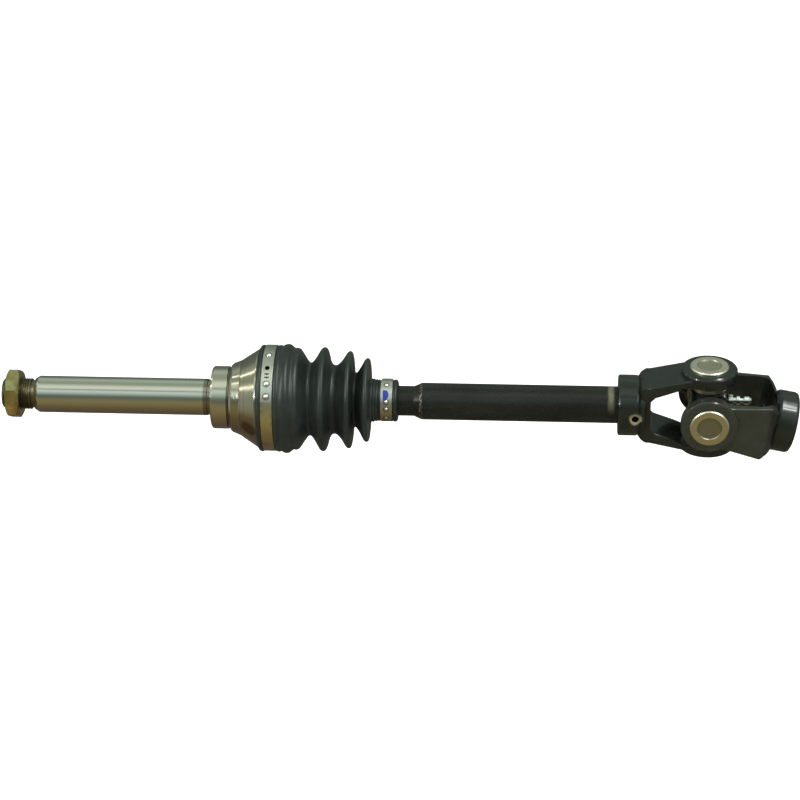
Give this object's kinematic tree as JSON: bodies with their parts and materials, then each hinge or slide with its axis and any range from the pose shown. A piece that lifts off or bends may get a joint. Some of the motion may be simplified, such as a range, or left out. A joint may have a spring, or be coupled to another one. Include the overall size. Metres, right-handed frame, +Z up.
{
  "type": "cv axle",
  "caption": "Half axle with a booted ball joint and threaded wheel stub at one end, and a universal joint with a splined yoke at the other.",
  "frame": {"origin": "centre of the collar's face that the wheel bearing seats on", "axes": "+X along the axle from the wheel stub to the universal joint, +Z up"},
  "size_m": [0.5606, 0.0772, 0.0772],
  "materials": {
    "ground_steel": "ground and turned bright",
    "zinc_plate": "yellow zinc plate, satin",
    "boot_rubber": "satin",
    "band_steel": "rolled, satin",
    "black_paint": "satin black",
    "black_enamel": "gloss black",
    "hardened_steel": "polished and oiled",
    "spring_steel": "dark, satin",
    "cup_steel": "turned, satin",
    "bright_zinc": "bright zinc plate",
    "washer_nylon": "matte",
    "seal_rubber": "matte"
  },
  "bodies": {
    "outer_race": {"stub_outer_race": "ground_steel", "large_clamp": "band_steel", "boot": "boot_rubber"},
    "axle_nut": {"axle_nut": "zinc_plate"},
    "cage": {"ball_cage": "hardened_steel", "cv_ball_1": "hardened_steel", "cv_ball_2": "hardened_steel", "cv_ball_3": "hardened_steel", "cv_ball_4": "hardened_steel", "cv_ball_5": "hardened_steel", "cv_ball_6": "hardened_steel"},
    "shaft": {"axle_shaft": "black_paint", "inner_race": "hardened_steel", "shaft_circlip": "spring_steel", "race_stop_ring": "spring_steel", "small_clamp": "band_steel", "yoke_roll_pin": "spring_steel", "shaft_yoke": "black_enamel", "bearing_cup_top": "cup_steel", "needle_rollers_top": "hardened_steel", "thrust_washer_top": "washer_nylon", "snap_ring_top": "spring_steel", "bearing_cup_bottom": "cup_steel", "needle_rollers_bottom": "hardened_steel", "thrust_washer_bottom": "washer_nylon", "snap_ring_bottom": "spring_steel"},
    "cross": {"cross_spider": "black_enamel", "grease_nipple": "bright_zinc", "cup_seal_top": "seal_rubber", "cup_seal_bottom": "seal_rubber", "cup_seal_front": "seal_rubber", "cup_seal_rear": "seal_rubber"},
    "output_yoke": {"output_yoke": "black_enamel", "bearing_cup_front": "cup_steel", "needle_rollers_front": "hardened_steel", "thrust_washer_front": "washer_nylon", "snap_ring_front": "spring_steel", "bearing_cup_rear": "cup_steel", "needle_rollers_rear": "hardened_steel", "thrust_washer_rear": "washer_nylon", "snap_ring_rear": "spring_steel"}
  },
  "joints": [
    {"name": "nut_off", "type": "slide", "parent": "outer_race", "child": "axle_nut", "axis": [-1, 0, 0], "range_m": [0, 0.08]},
    {"name": "cv_bend", "type": "hinge", "parent": "outer_race", "child": "shaft", "pos_m": [0.042, 0, 0], "axis": [0, 1, 0], "range_deg": [-38, 38], "deforming": ["boot"]},
    {"name": "cage_tilt", "type": "hinge", "parent": "outer_race", "child": "cage", "pos_m": [0.042, 0, 0], "axis": [0, 1, 0], "range_deg": [-19, 19]},
    {"name": "u_swing", "type": "hinge", "parent": "shaft", "child": "cross", "pos_m": [0.3476, 0, 0], "axis": [0, 0, 1], "range_deg": [-32, 32]},
    {"name": "u_tilt", "type": "hinge", "parent": "cross", "child": "output_yoke", "pos_m": [0.3476, 0, 0], "axis": [0, 1, 0], "range_deg": [-43, 21]}
  ],
  "couplings": [
    {"joint": "cage_tilt", "follows": "cv_bend", "ratio": 0.5}
  ]
}
